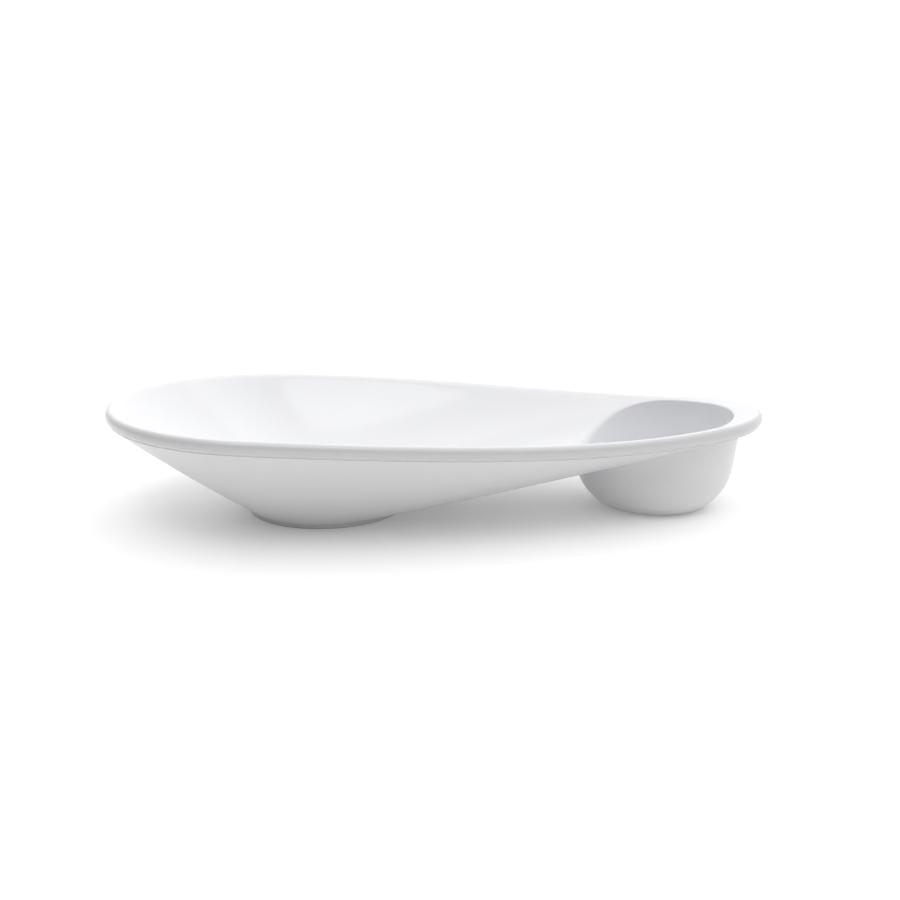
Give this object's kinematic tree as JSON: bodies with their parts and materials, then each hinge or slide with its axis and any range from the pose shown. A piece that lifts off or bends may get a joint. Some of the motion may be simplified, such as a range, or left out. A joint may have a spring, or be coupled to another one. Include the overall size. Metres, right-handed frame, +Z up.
{
  "type": "chip and dip server",
  "caption": "Pear-shaped serving dish: a wide chip bowl flows over a low saddle into a round dip cup, under one rolled lip, on two non-slip foot rings.",
  "frame": {"origin": "on the table, under the middle of the dish's length and width", "axes": "+X along the length towards the dip cup, +Y across the width, +Z up"},
  "size_m": [0.4, 0.2026, 0.0687],
  "materials": {
    "serving_tray": "gloss",
    "outer_shell": "satin gloss",
    "rim_seal": "matte",
    "chip_foot_ring": "matte",
    "dip_foot_ring": "matte"
  },
  "bodies": {
    "root": {"serving_tray": "serving_tray", "outer_shell": "outer_shell", "rim_seal": "rim_seal", "chip_foot_ring": "chip_foot_ring", "dip_foot_ring": "dip_foot_ring"}
  },
  "joints": []
}
